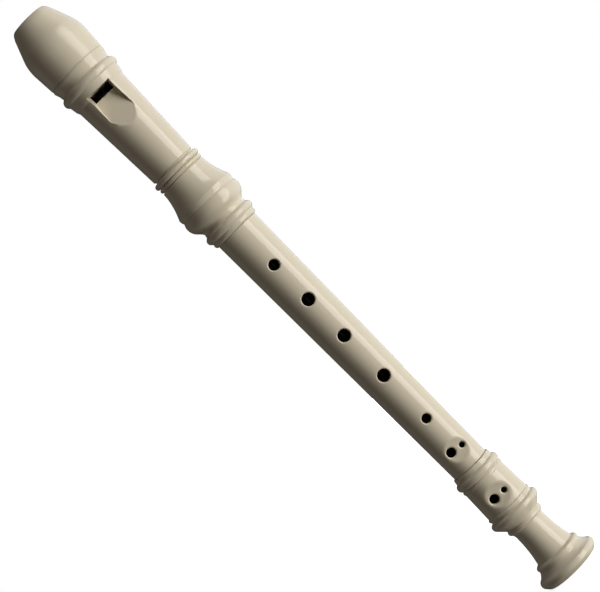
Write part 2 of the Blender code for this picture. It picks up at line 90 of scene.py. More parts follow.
def placed(base, way, rows):
    """Rows from a base height, up with way 1 or down with way -1, as (radius, height, kind)."""
    return [(radius * MM, base + way * distance * MM, *kind) for name, distance, radius, *kind in rows]


def arc(start, via, end):
    """Points of the circular arc from start through via to end, without start."""
    a, b, c = (complex(*point[:2]) for point in (start, via, end))
    w = (c - a) / (b - a)
    centre = a + (b - a) * (w - abs(w) ** 2) / (w - w.conjugate())
    first = a - centre
    sweep, halfway = (cmath.phase((point - centre) / first) for point in (c, b))
    if abs(halfway) > abs(sweep) or halfway * sweep < 0:
        sweep -= math.copysign(math.tau, sweep)
    turns = [sweep * k / ARC_STEPS for k in range(1, ARC_STEPS + 1)]
    points = [centre + first * complex(math.cos(turn), math.sin(turn)) for turn in turns]
    return [(point.real, point.imag) for point in points]


def trumpet(start, end):
    """Points of a curve whose radius opens with a power of the way down, without start."""
    wide, down = end[0] - start[0], end[1] - start[1]
    shares = [k / ARC_STEPS for k in range(1, ARC_STEPS + 1)]
    return [(start[0] + wide * share**TRUMPET_POWER, start[1] + down * share) for share in shares]


def drawn(rows):
    """Follows placed rows and returns the outline's points as (radius, height)."""
    points = [rows[0][:2]]
    for index, (radius, height, *kind) in enumerate(rows[1:], 1):
        if kind == ["round"]:
            points += arc(rows[index - 1], rows[index], rows[index + 1])
        elif kind == ["trumpet"]:
            points += trumpet(points[-1], (radius, height))
        elif rows[index - 1][2:] != ("round",):
            points.append((radius, height))
    return points


def even_steps(points):
    """Walks an outline in steps of one pace."""
    path = np.array(points)
    run = np.concatenate([[0.0], np.cumsum(np.hypot(*np.diff(path, axis=0).T))])
    stops = np.linspace(0.0, run[-1], int(run[-1] / PACE) + 2)
    return np.stack([np.interp(stops, run, path[:, k]) for k in (0, 1)], 1)


def softened(path, corner=CORNER):
    """Rounds every corner of an evenly stepped outline, as polishing does, and keeps its two ends."""
    reach = int(4 * corner / PACE)
    weights = np.exp(-0.5 * (np.arange(-reach, reach + 1) * PACE / corner) ** 2)
    before = 2 * path[0] - path[reach:0:-1]
    after = 2 * path[-1] - path[-2:-reach - 2:-1]
    long = np.concatenate([before, path, after])
    return np.stack([np.convolve(long[:, k], weights / weights.sum(), "valid") for k in (0, 1)], 1)


def thinned(path):
    """Keeps the points that an open or closed outline needs to stay within the tolerance."""
    keep = {0, len(path) - 1}
    spans = [(0, len(path) - 1)]
    while spans:
        low, high = spans.pop()
        if high - low < 2:
            continue
        chord = path[high] - path[low]
        offset = path[low + 1:high] - path[low]
        length = np.hypot(*chord)
        if length > 0:
            away = np.abs(offset[:, 0] * chord[1] - offset[:, 1] * chord[0]) / length
        else:
            away = np.hypot(*offset.T)
        worst = int(away.argmax())
        if away[worst] > TOLERANCE or length > LONGEST:
            middle = low + 1 + (worst if away[worst] > TOLERANCE else len(away) // 2)
            keep.add(middle)
            spans += [(low, middle), (middle, high)]
    return path[sorted(keep)]


def section(rows, corner=CORNER):
    """The finished outline of a turned surface."""
    return thinned(softened(even_steps(drawn(rows)), corner))


# %% [markdown]
# The foot has a lip with a bead where the middle joint enters, a plain band that holds the last
# pair of holes, a big bead, a collar, the waist, and the bell's rim with its cove. The outline
# ends on the axis, so what it turns is a solid. The bore is taken out later.

# %% The foot's outline
FOOT_LIP = [("lip", -0.1, 9.5), ("lip edge", 0.2, 9.8), ("lip slope", 2.35, 10.1),
            ("lip bead", 4.25, 11.45, "round"), ("bead foot", 5.95, 10.5), ("groove", 6.25, 10.2),
            ("fillet", 7.0, 10.85, "round"), ("band top", 7.9, 10.5)]
FOOT_BEADS = [("band foot", 38.95, 10.92), ("fillet", 38.3, 11.5, "round"), ("groove", 37.55, 10.9),
              ("step", 36.7, 11.08), ("bead top", 36.1, 12.2), ("big bead", 34.7, 12.7, "round"),
              ("bead flank", 33.6, 12.2), ("cone foot", 30.5, 9.15), ("collar top", 29.9, 8.7),
              ("collar", 28.8, 9.35, "round"), ("collar under", 27.5, 8.3)]
FOOT_BELL = [("waist top", 25.9, 7.85), ("waist", 18.6, 8.18, "round"), ("waist foot", 10.8, 9.5),
             ("ring shoulder", 10.1, 10.9), ("ring", 9.4, 11.4, "round"), ("cove top", 8.2, 11.05),
             ("cove", 6.6, 11.9, "round"), ("rim top", 4.6, 14.2), ("rim peak", 3.3, 14.9, "round"),
             ("rim under", 1.8, 14.6), ("rim corner", 0.35, 13.3), ("end face", 0.0, 12.9),
             ("centre", 0.0, 0.0)]
foot_rows = placed(FOOT_TOP, -1, [("centre", 0.0, 0.0)] + FOOT_LIP)
foot_outline = section(foot_rows + placed(0.0, 1, FOOT_BEADS + FOOT_BELL))
print("foot outline:", len(foot_outline), "points")

# %% [markdown]
# The middle joint is the plainest turning, a slow taper with a tenon at each end. Each tenon has
# a groove for a seal ring.

# %% The middle joint's outline
UPPER_TENON = 8.55 * MM
LOWER_TENON = 7.35 * MM
MIDDLE_RADIUS_TOP = 10.4 * MM
MIDDLE_RADIUS_BOTTOM = 9.0 * MM
TENON_CHAMFER = 0.3 * MM
SEAL_SETBACK = 5.0 * MM
SEAL_WIDTH = 2.6 * MM
SEAL_THICKNESS = 0.75 * MM
SEAL_GAP = 0.05 * MM


def groove(tenon, high):
    """The four corners of a seal's groove, from its upper edge down."""
    floor = tenon - SEAL_THICKNESS - SEAL_GAP
    low = high - SEAL_WIDTH
    return [(tenon, high), (floor, high), (floor, low), (tenon, low)]


upper_groove = TENON_HIGH - SEAL_SETBACK
lower_groove = TENON_LOW + SEAL_SETBACK + SEAL_WIDTH
middle_rows = [(0.0, TENON_HIGH), (UPPER_TENON - TENON_CHAMFER, TENON_HIGH),
               (UPPER_TENON, TENON_HIGH - TENON_CHAMFER), *groove(UPPER_TENON, upper_groove),
               (UPPER_TENON, MIDDLE_TOP + CLOSE), (MIDDLE_RADIUS_TOP, MIDDLE_TOP + CLOSE),
               (MIDDLE_RADIUS_BOTTOM, MIDDLE_BOTTOM - CLOSE), (LOWER_TENON, MIDDLE_BOTTOM - CLOSE),
               *groove(LOWER_TENON, lower_groove), (LOWER_TENON, TENON_LOW + TENON_CHAMFER),
               (LOWER_TENON - TENON_CHAMFER, TENON_LOW), (0.0, TENON_LOW)]
middle_outline = section(middle_rows)
print("middle outline:", len(middle_outline), "points")

# %% [markdown]
# The head carries most of the turner's work. From its top: the spigot under the mouthpiece, a
# collar and a bead, the barrel with the window, two small rings, a trumpet flare that ends in a
# thin ridge, the bulb, the neck, and the socket's bead with its sharp arris.

# %% The head's outline
SPIGOT_RADIUS = 9.8 * MM
HEAD_COLLARS = [("seam", -0.13, 14.1), ("collar edge", 0.9, 14.3), ("collar under", 2.7, 13.65),
                ("groove", 4.95, 13.2), ("bead over", 5.45, 13.4), ("top bead", 7.45, 14.8, "round"),
                ("bead under", 9.6, 13.7), ("fillet edge", 11.1, 13.45), ("window fillet", 13.1, 13.1),
                ("barrel top", 14.4, 12.45)]
HEAD_RINGS = [("barrel foot", 38.3, 10.9), ("groove over", 37.7, 10.2), ("groove floor", 37.3, 10.2),
              ("large ring foot", 37.1, 10.9), ("large ring", 35.75, 12.2, "round"),
              ("valley over", 34.6, 10.9), ("valley", 34.45, 10.5), ("small ring foot", 34.3, 10.9),
              ("small ring", 33.4, 11.65, "round"), ("small ring end", 32.6, 11.0),
              ("groove under", 32.4, 10.5), ("flare top", 32.0, 11.4), ("ridge", 19.4, 14.65, "trumpet")]
HEAD_BULB = [("ridge foot", 17.9, 14.5), ("bulb top", 17.1, 14.1), ("bulb", 13.6, 14.8, "round"),
             ("bulb waist", 10.5, 13.4), ("bulb foot", 8.7, 11.6), ("neck", 7.8, 11.05),
             ("neck foot", 6.3, 11.4), ("bead top", 5.9, 11.9), ("arris", 4.3, 12.8, "round"),
             ("bead under", 2.6, 11.8), ("groove", 2.15, 11.35), ("band", 1.15, 11.65, "round"),
             ("band foot", 0.2, 11.1), ("band edge", -0.1, 10.8), ("centre", -0.1, 0.0)]
head_rows = [(0.0, SPIGOT_TOP), (SPIGOT_RADIUS - TENON_CHAMFER, SPIGOT_TOP),
             (SPIGOT_RADIUS, SPIGOT_TOP - TENON_CHAMFER), (SPIGOT_RADIUS, HEAD_TOP + BEAK_CLOSE)]
head_rows += placed(HEAD_TOP, -1, HEAD_COLLARS) + placed(HEAD_BOTTOM, 1, HEAD_RINGS + HEAD_BULB)
head_outline = section(head_rows)
print("head outline:", len(head_outline), "points")

# %% [markdown]
# The mouthpiece shell starts as a turning too. Its outline runs from the tip's centre down the
# outside and up into the socket that takes the spigot.

# %% The mouthpiece's outline
FIXED_GAP = 0.15 * MM
TIP_RADIUS = 8.6
BEAK_OUTSIDE = [("centre", 0.0, 0.0), ("tip", 0.0, TIP_RADIUS), ("tip corner", 0.7, 9.3),
                ("tip flank", 2.4, 10.3), ("shoulder", 11.8, 13.9), ("swell", 14.7, 14.62, "round"),
                ("widest", 18.7, 14.9)]
BEAK_SEAM = [("seam", 0.2, 14.3), ("seam edge", -0.13, 14.1)]
socket = SPIGOT_RADIUS + FIXED_GAP
socket_floor = SPIGOT_TOP + SEAT_GAP
beak_rows = placed(BEAK_TIP, -1, BEAK_OUTSIDE) + placed(BEAK_BOTTOM, 1, BEAK_SEAM)
beak_rows += [(socket + TENON_CHAMFER, BEAK_BOTTOM - BEAK_CLOSE),
              (socket, BEAK_BOTTOM + TENON_CHAMFER), (socket, socket_floor), (0.0, socket_floor)]
beak_outline = section(beak_rows)
print("mouthpiece outline:", len(beak_outline), "points")

# %% [markdown]
# Three bores are turned as solids of their own and cut out later: the foot's bell, waist and
# socket, the middle joint's taper, and the head's cylinder with its socket. Each runs a little
# past the piece's ends so that the cut is clean.

# %% The bores' outlines
OVERRUN = 1.0 * MM
foot_socket = LOWER_TENON + SLIDING_GAP
foot_socket_floor = TENON_LOW - SEAT_GAP
BELL_BORE = [("centre", -1.0, 0.0), ("mouth", -1.0, 9.9), ("mouth edge", 0.0, 9.9),
             ("bell", 3.6, 6.8, "round"), ("throat", 5.2, 5.7), ("choke", 25.0, 4.45)]
FOOT_BORE_HIGH = 4.75 * MM
foot_bore = placed(0.0, 1, BELL_BORE)
foot_bore += [(FOOT_BORE_HIGH, foot_socket_floor), (foot_socket, foot_socket_floor),
              (foot_socket, FOOT_TOP - TENON_CHAMFER), (foot_socket + TENON_CHAMFER, FOOT_TOP),
              (foot_socket + TENON_CHAMFER, FOOT_TOP + OVERRUN), (0.0, FOOT_TOP + OVERRUN)]
MIDDLE_BORE_LOW = 4.85 * MM
MIDDLE_BORE_HIGH = 6.7 * MM
middle_bore = [(0.0, TENON_LOW - OVERRUN), (MIDDLE_BORE_LOW, TENON_LOW - OVERRUN),
               (MIDDLE_BORE_LOW, TENON_LOW), (MIDDLE_BORE_HIGH, TENON_HIGH),
               (MIDDLE_BORE_HIGH, TENON_HIGH + OVERRUN), (0.0, TENON_HIGH + OVERRUN)]
HEAD_BORE = 6.75 * MM
head_socket = UPPER_TENON + SLIDING_GAP
head_socket_floor = TENON_HIGH + SEAT_GAP
head_bore = [(0.0, HEAD_BOTTOM - OVERRUN), (head_socket + TENON_CHAMFER, HEAD_BOTTOM - OVERRUN),
             (head_socket + TENON_CHAMFER, HEAD_BOTTOM), (head_socket, HEAD_BOTTOM + TENON_CHAMFER),
             (head_socket, head_socket_floor), (HEAD_BORE, head_socket_floor),
             (HEAD_BORE, SPIGOT_TOP + OVERRUN), (0.0, SPIGOT_TOP + OVERRUN)]
print("bores ready")

# %% [markdown]
# A lathe in Geometry Nodes: a flat grid has one column for each step round the axis and one row
# for each point of the outline. Every grid point looks up its row's point on the outline and
# turns it by its column's angle. Merge by Distance then closes the seam and the poles.

# %% A lathe built from nodes
MERGE = 1e-6


def feed(tree, made, feeds):
    """Links each input of a node to a socket, or sets it to a value."""
    for name, value in feeds.items():
        if isinstance(value, bpy.types.NodeSocket):
            tree.links.new(value, made.inputs[name])
        else:
            made.inputs[name].default_value = value


def node(tree, kind, feeds=None, **settings):
    """Adds a node, sets what the keywords name, and feeds its inputs."""
    made = tree.nodes.new(kind)
    for key, value in settings.items():
        setattr(made, key, value)
    feed(tree, made, feeds or {})
    return made


def sum_node(tree, operation, first, second):
    """A Math node on two inputs, each a socket or a number."""
    return node(tree, "ShaderNodeMath", {0: first, 1: second}, operation=operation).outputs[0]


def new_group(name, kind, takes, gives):
    """An empty node group, the sockets that it is given, and its inputs' identifiers by name."""
    tree = bpy.data.node_groups.new(name, kind)
    found = {}
    for label, socket in takes.items():
        made = tree.interface.new_socket(label, in_out="INPUT", socket_type="NodeSocket" + socket)
        found[label] = made.identifier
    for label, socket in gives.items():
        tree.interface.new_socket(label, in_out="OUTPUT", socket_type="NodeSocket" + socket)
    return tree, node(tree, "NodeGroupInput").outputs, found


def end_group(tree, last):
    """Ends a geometry group with real meshes in place of instances, and a slot for a material."""
    real = node(tree, "GeometryNodeRealizeInstances", {0: last.outputs[0]})
    slot = node(tree, "GeometryNodeSetMaterial", {"Geometry": real.outputs[0]})
    node(tree, "NodeGroupOutput", {0: slot.outputs[0]})


def make_lathe():
    """The node group of the lathe, with its inputs' identifiers."""
    tree, given, found = new_group("Lathe", "GeometryNodeTree", {"Outline": "Geometry", "Steps": "Int"},
                                   {"Turned": "Geometry"})
    size = node(tree, "GeometryNodeAttributeDomainSize", {0: given["Outline"]}, component="MESH")
    rows = size.outputs["Point Count"]
    wide = sum_node(tree, "ADD", given["Steps"], 1.0)
    grid = node(tree, "GeometryNodeMeshGrid", {"Vertices X": wide, "Vertices Y": rows})
    index = node(tree, "GeometryNodeInputIndex").outputs[0]
    share = sum_node(tree, "DIVIDE", sum_node(tree, "ADD", index, 0.5), rows)
    column = sum_node(tree, "FLOOR", share, 0.0)
    row = sum_node(tree, "SUBTRACT", index, sum_node(tree, "MULTIPLY", column, rows))
    angle = sum_node(tree, "MULTIPLY", column, sum_node(tree, "DIVIDE", math.tau, given["Steps"]))
    place = node(tree, "GeometryNodeInputPosition").outputs[0]
    feeds = {"Geometry": given["Outline"], "Value": place, "Index": row}
    sample = node(tree, "GeometryNodeSampleIndex", feeds, data_type="FLOAT_VECTOR", domain="POINT")
    turn = node(tree, "ShaderNodeVectorRotate", {"Vector": sample.outputs["Value"], "Angle": angle},
                rotation_type="Z_AXIS")
    feeds = {"Geometry": grid.outputs["Mesh"], "Position": turn.outputs[0]}
    move = node(tree, "GeometryNodeSetPosition", feeds)
    feeds = {"Geometry": move.outputs[0], "Distance": MERGE}
    end_group(tree, node(tree, "GeometryNodeMergeByDistance", feeds))
    return tree, found


LATHE = make_lathe()
print("lathe:", len(LATHE[0].nodes), "nodes")

# %% [markdown]
# The next helpers turn an object with live modifiers into one plain mesh, face it outwards and
# shade it. A shape that is inside out cuts nothing and shades wrongly.

# %% Tools for meshes
SEGMENTS = 192
BORE_SEGMENTS = 96
SHARP = math.radians(32)


def link_object(name, data):
    """A new object in the scene, at the origin."""
    made = bpy.data.objects.new(name, data)
    bpy.context.scene.collection.objects.link(made)
    return made


def flatten(piece):
    """Replaces an object's mesh by what its modifiers make of it, and removes them."""
    bpy.context.view_layer.update()
    seen = piece.evaluated_get(bpy.context.evaluated_depsgraph_get())
    mesh = bpy.data.meshes.new_from_object(seen)
    piece.modifiers.clear()
    piece.data = mesh
    mesh.name = piece.name
    return piece


def through(piece, group, **inputs):
    """Sends an object through a node group and keeps what comes out as its mesh."""
    tree, identifiers = group
    modifier = piece.modifiers.new(tree.name, "NODES")
    modifier.node_group = tree
    for name, value in inputs.items():
        modifier[identifiers[name]] = value
    return flatten(piece)


def opened(piece):
    """A piece's mesh, open for changes."""
    shape = bmesh.new()
    shape.from_mesh(piece.data)
    return shape


def store(shape, mesh):
    """Faces a closed shape outwards and writes it to a mesh."""
    bmesh.ops.recalc_face_normals(shape, faces=shape.faces)
    if shape.calc_volume(signed=True) < 0:
        bmesh.ops.reverse_faces(shape, faces=shape.faces)
    shape.to_mesh(mesh)
    shape.free()


def turned(name, outline, segments=SEGMENTS):
    """Turns an outline on the lathe into an object with a closed mesh."""
    mesh = bpy.data.meshes.new(name)
    edges = [(k, k + 1) for k in range(len(outline) - 1)]
    mesh.from_pydata([(radius, 0.0, height) for radius, height in outline], edges, [])
    piece = through(link_object(name, mesh), LATHE, Steps=segments)
    store(opened(piece), piece.data)
    return piece


def bore_cutter(name, rows):
    """The solid that opens a bore."""
    return turned(name + " bore", thinned(even_steps(drawn(rows))), BORE_SEGMENTS)


def prism(name, side_view, half_width):
    """A solid whose side view is a polygon of (y, z) points, as wide along X as stated."""
    shape = bmesh.new()
    face = shape.faces.new([shape.verts.new((-half_width, y, z)) for y, z in side_view])
    grown = bmesh.ops.extrude_face_region(shape, geom=[face])["geom"]
    moved = [item for item in grown if isinstance(item, bmesh.types.BMVert)]
    bmesh.ops.translate(shape, verts=moved, vec=(2 * half_width, 0, 0))
    mesh = bpy.data.meshes.new(name)
    store(shape, mesh)
    return link_object(name, mesh)


def carve(piece, cutters):
    """Cuts solids out of a piece and removes them."""
    for cutter in cutters:
        cut = piece.modifiers.new("Cut " + cutter.name, "BOOLEAN")
        cut.operation = "DIFFERENCE"
        cut.solver = "EXACT"
        cut.object = cutter
    flatten(piece)
    for cutter in cutters:
        bpy.data.objects.remove(cutter)
    return piece


def shade(piece):
    """Smooth faces with sharp edges where the surface turns a corner."""
    piece.data.shade_smooth()
    piece.data.set_sharp_from_angle(angle=SHARP)
    print(piece.name, len(piece.data.polygons), "faces")
    return piece


# %% [markdown]
# A finger hole in a real moulding has a soft rim: the skin rolls over into the hole, and that
# roll catches the light as a bright ring. A Boolean alone leaves a hard edge. So a rectangle of
# the turned grid is taken out round each hole and filled with rings that start on the rectangle,
# end on the circle, and roll over on their way. The drill then only has to open the bottom.

# %% Patches with rings
ROLL_STEPS = 7
LEDGE = 0.02 * MM
INSIDE_DRILL = 0.15 * MM
FRONT = -1
BACK = 1


def seen_from(side, point):
    """A point as someone sees it who faces that side: across to the right, and up."""
    return -side * point.x, point.z


def open_patch(shape, side, across, heights):
    """Takes a rectangle of faces out of the turned grid and returns its rim, in order."""
    doomed = []
    for face in shape.faces:
        middle = face.calc_center_median()
        angle = math.atan2(-side * middle.x, side * middle.y)
        if across[0] < angle < across[1] and heights[0] < middle.z < heights[1]:
            doomed.append(face)
    bmesh.ops.delete(shape, geom=doomed, context="FACES")
    beside = {}
    for edge in shape.edges:
        if edge.is_boundary:
            for vert in edge.verts:
                beside.setdefault(vert, []).append(edge.other_vert(vert))
    rim = [next(iter(beside))]
    rim.append(beside[rim[0]][0])
    while rim[-1] is not rim[0]:
        left, right = beside[rim[-1]]
        rim.append(right if left is rim[-2] else left)
    rim.pop()
    flat = [seen_from(side, vert.co) for vert in rim]
    area = sum(a[0] * b[1] - b[0] * a[1] for a, b in zip(flat, flat[1:] + flat[:1]))
    return rim if area > 0 else rim[::-1]


def fill_rings(shape, rim, rings):
    """Joins a patch's rim to rings of points, one inside the other, and closes the last."""
    before = rim
    for ring in rings:
        now = [old if (old.co - place).length < MERGE else shape.verts.new(place)
               for old, place in zip(before, ring)]
        for k in range(len(now)):
            corners = list(dict.fromkeys((before[k - 1], before[k], now[k], now[k - 1])))
            if len(corners) > 2:
                shape.faces.new(corners)
        before = now
    shape.faces.new(before)


def hole_rings(rim, side, centre, radius, roll, skin):
    """Rings from a patch's rim over the roll of a round hole to a shallow floor."""
    starts = [seen_from(side, vert.co) for vert in rim]
    turns = [math.atan2(up - centre[1], across - centre[0]) for across, up in starts]

    def ring(size, sink, share=1.0):
        points = []
        for start, turn in zip(starts, turns):
            across = start[0] + (centre[0] + size * math.cos(turn) - start[0]) * share
            up = start[1] + (centre[1] + size * math.sin(turn) - start[1]) * share
            points.append(Vector((-side * across, side * (skin(across, up) - sink), up)))
        return points

    rings = [ring(radius + roll, 0.0, share) for share in (0.25, 0.5, 0.75, 1.0)]
    for step in range(1, ROLL_STEPS + 1):
        turn = math.pi / 2 * step / ROLL_STEPS
        size = radius + LEDGE + (roll - LEDGE) * (1 - math.sin(turn))
        rings.append(ring(size, roll * (1 - math.cos(turn))))
    rings.append(ring(radius - INSIDE_DRILL, roll))
    return rings


def smooth_least(a, b, blend):
    """The smaller of two distances, with a soft change between them."""
    mix = min(1.0, max(0.0, 0.5 + 0.5 * (b - a) / blend))
    return b + (a - b) * mix - blend * mix * (1 - mix)


# %% [markdown]
# The drills repeat one shape at many places, so they are instances. Each hole is one point that
# carries its radius, and the tree puts a unit cylinder on it, scaled to that radius.

# %% Drills on points
DRILL_SEGMENTS = 96
DRILL_LENGTH = 20.0 * MM


def make_drills():
    """The node group that puts a drill on every point, with its inputs' identifiers."""
    takes = {"Holes": "Geometry", "Length": "Float", "Sides": "Int"}
    tree, given, found = new_group("Drills", "GeometryNodeTree", takes, {"Drills": "Geometry"})
    bit = node(tree, "GeometryNodeMeshCylinder", {"Radius": 1.0, "Depth": 1.0, "Vertices": given["Sides"]})
    named = node(tree, "GeometryNodeInputNamedAttribute", {"Name": "radius"}, data_type="FLOAT")
    radius = named.outputs[0]
    scale = node(tree, "ShaderNodeCombineXYZ", {"X": radius, "Y": radius, "Z": given["Length"]})
    place = node(tree, "GeometryNodeInstanceOnPoints",
                 {"Points": given["Holes"], "Instance": bit.outputs["Mesh"],
                  "Rotation": (math.pi / 2, 0.0, 0.0), "Scale": scale.outputs[0]})
    end_group(tree, place)
    return tree, found


DRILLS = make_drills()


def drills(name, holes):
    """One object with a drill for each hole, a row of (side, across, height, radius, roll)."""
    mesh = bpy.data.meshes.new(name)
    points = [(-side * across, side * DRILL_LENGTH / 2, height) for side, across, height, *rest in holes]
    mesh.from_pydata(points, [], [])
    sizes = mesh.attributes.new("radius", "FLOAT", "POINT")
    sizes.data.foreach_set("value", [radius for *place, radius, roll in holes])
    return through(link_object(name, mesh), DRILLS, Length=DRILL_LENGTH, Sides=DRILL_SEGMENTS)


# %% [markdown]
# The five single holes, the thumb hole behind, and the double hole for the right ring finger.
# A double hole is a large and a small hole side by side in a shallow dish, so that the finger
# can cover one or both. Heights count from the middle joint's lower shoulder.

# %% Sizes of the holes
SINGLE_ROLL = 0.62 * MM
PAIR_ROLL = 0.7 * MM
SINGLE_HOLES = [("first finger", 118.4, 2.48), ("second finger", 98.1, 2.90),
                ("third finger", 76.7, 2.85), ("fourth finger", 53.1, 2.88), ("fifth finger", 27.6, 2.14)]
THUMB_HEIGHT, THUMB_RADIUS = 124.6 * MM, 2.6 * MM
MIDDLE_PAIR, FOOT_PAIR = 9.1 * MM, 44.95 * MM
MIDDLE_PAIR_RISE = 0.85 * MM
LARGE_HOLE = (-2.65 * MM, 2.12 * MM)
SMALL_HOLE = (3.0 * MM, 1.28 * MM)
MIDDLE_DISH = (1.75 * MM, 8.0 * MM)
FOOT_DISH = (1.76 * MM, 7.8 * MM)
FOOT_DISH_RISE = 0.75 * MM
DISH_BLEND = 0.45 * MM
FOOT_TWIST = math.radians(-7)

middle_holes = [(FRONT, 0.0, MIDDLE_BOTTOM + height * MM, radius * MM, SINGLE_ROLL)
                for name, height, radius in SINGLE_HOLES]
middle_holes.append((BACK, 0.0, MIDDLE_BOTTOM + THUMB_HEIGHT, THUMB_RADIUS, SINGLE_ROLL))
middle_holes += [(FRONT, across, MIDDLE_BOTTOM + MIDDLE_PAIR + rise, radius, PAIR_ROLL)
                 for (across, radius), rise in ((LARGE_HOLE, MIDDLE_PAIR_RISE), (SMALL_HOLE, 0.0))]
foot_holes = [(FRONT, across, FOOT_PAIR, radius, PAIR_ROLL)
              for across, radius in (LARGE_HOLE, SMALL_HOLE)]
print(len(middle_holes), "holes in the middle joint,", len(foot_holes), "in the foot")

# %% [markdown]
# Each hole needs a fine, even grid round it, so the outline gets extra rings there before it is
# turned. A patch is as tall and wide as its hole, its roll and a margin.

# %% Making a drilled tube
MARGIN = 1.3 * MM
RING_PACE = 0.3 * MM
COLUMN = math.tau / SEGMENTS
DISH_REACH = 7.0 * MM


def ruled(outline, low, high):
    """Replaces an outline's points between two heights by evenly spaced ones."""
    inside = (outline[:, 1] > low) & (outline[:, 1] < high) & (outline[:, 0] > foot_socket)
    first, last = np.nonzero(inside)[0][[0, -1]] if inside.any() else (None, None)
    if first is None:
        first = int(np.nonzero(outline[:, 1] >= high)[0][-1]) + 1
        last = first - 1
    stretch = outline[first - 1:last + 2][::-1]
    heights = np.linspace(high, low, int((high - low) / RING_PACE) + 2)
    rings = np.stack([np.interp(heights, stretch[:, 1], stretch[:, 0]), heights], 1)
    return np.concatenate([outline[:first], rings, outline[last + 1:]])


def skin_of(outline, dish=None):
    """A function that gives the distance of the surface in front of the axis, across and up."""
    shown = outline[outline[:, 0] > foot_socket][::-1]

    def skin(across, up):
        radius = float(np.interp(up, shown[:, 1], shown[:, 0]))
        front = math.sqrt(max(radius**2 - across**2, 0.0))
        return smooth_least(front, dish(up), DISH_BLEND) if dish else front

    return skin


def dish_at(height, surface, depth, curve):
    """A function that gives how far the dish's floor lies in front of the axis."""
    def dish(up):
        away = min(abs(up - height), curve)
        return surface - depth + curve - math.sqrt(curve**2 - away**2)

    return dish


def column_at(across, radius):
    """The nearest grid column to a distance beside the front line, as an angle."""
    return round(math.asin(across / radius) / COLUMN) * COLUMN


def drilled_tube(name, outline, holes, bore, dish_height, dish_size):
    """Turns a tube, sinks its dish, fills a patch with rings for each hole, and drills it."""
    def near_dish(height):
        return abs(height - dish_height) < MARGIN

    dish = dish_at(dish_height, skin_of(outline)(0.0, dish_height), *dish_size)
    zones = {(height, radius + roll + MARGIN)
             for side, across, height, radius, roll in holes if not near_dish(height)}
    for height, reach in sorted(zones | {(dish_height, DISH_REACH)}):
        outline = ruled(outline, height - reach, height + reach)
    piece = turned(name, outline)
    shape = opened(piece)
    for vert in shape.verts:
        if vert.co.y < 0 and abs(vert.co.z - dish_height) < DISH_REACH:
            vert.co.y = -smooth_least(-vert.co.y, dish(vert.co.z), DISH_BLEND)
    for side, across, height, radius, roll in holes:
        skin = skin_of(outline, dish if near_dish(height) else None)
        body = skin_of(outline)(0.0, height)
        half = radius + roll + MARGIN
        left, right = column_at(across - half, body), column_at(across + half, body)
        if near_dish(height):
            between = column_at((sum(LARGE_HOLE) + SMALL_HOLE[0] - SMALL_HOLE[1]) / 2, body)
            left, right = (left, between) if across < 0 else (between, right)
            half = LARGE_HOLE[1] + roll + MARGIN
        rim = open_patch(shape, side, (left, right), (height - half, height + half))
        fill_rings(shape, rim, hole_rings(rim, side, (across, height), radius, roll, skin))
    store(shape, piece.data)
    return carve(piece, [bore_cutter(name, bore), drills(name + " drills", holes)])


# %% The middle joint
middle = drilled_tube("middle_joint", middle_outline, middle_holes, middle_bore,
                      MIDDLE_BOTTOM + MIDDLE_PAIR, MIDDLE_DISH)
shade(middle)

# %% The foot
foot = drilled_tube("foot_joint", foot_outline, foot_holes, foot_bore, FOOT_PAIR + FOOT_DISH_RISE, FOOT_DISH)
foot.data.transform(Matrix.Rotation(FOOT_TWIST, 4, "Z"))
shade(foot)

# %% [markdown]
# The window is the heart of the sound. Air leaves the windway, crosses the window and meets the
# labium, the sharp edge at the top of a sloping ramp. The ramp's walls part downwards and run
# out where the slope meets the barrel, which gives it its rounded end. In the photograph the left
# wall parts and leans out more than the right one. The edge is rolled like a hole's rim, so the
# same rings are used, laid on an outline of its own.

# %% Sizes of the window
WINDWAY_HALF_WIDTH = 5.15 * MM
POCKET_EASE = 0.03 * MM
WINDWAY_ROOF = (7.7 * MM, 6.2 * MM)
WINDWAY_FLOOR = (6.5 * MM, 4.8 * MM)
WINDOW_TOP = HEAD_TOP - 12.75 * MM
LABIUM = WINDOW_TOP - 3.9 * MM
LABIUM_FRONT, LABIUM_THICKNESS = 7.2 * MM, 0.45 * MM
UNDERCUT_LENGTH, UNDERCUT_DEPTH = 13.0 * MM, 3.6 * MM
RAMP_LENGTH = 16.3 * MM
LEFT_FLARE, RIGHT_FLARE = 0.132, 0.08
LEFT_LEAN, RIGHT_LEAN, TOP_LEAN = 0.29, 0.07, -0.03
FLOOR_STEP = 0.12 * MM
POCKET_ROLL, TOP_ROLL = 0.34 * MM, 0.14 * MM
PATCH_OVER = 0.9 * MM
PATCH_UNDER = 3.0 * MM
PATCH_BESIDE = 2.0 * MM
HALVINGS = 40


def ramp_front(up, end_radius):
    """How far the ramp's floor lies in front of the axis at a height."""
    return LABIUM_FRONT + (end_radius - LABIUM_FRONT) * (LABIUM - up) / RAMP_LENGTH


def wall_at(up, flare=LEFT_FLARE):
    """How far a wall of the pocket stands from the middle at a height."""
    return WINDWAY_HALF_WIDTH + POCKET_EASE + flare * max(0.0, LABIUM - up)


def crossing(low, high, rest):
    """The height between two where rest changes its sign, by halving."""
    for step in range(HALVINGS):
        middle = (low + high) / 2
        low, high = (middle, high) if (rest(middle) > 0) == (rest(low) > 0) else (low, middle)
    return (low + high) / 2


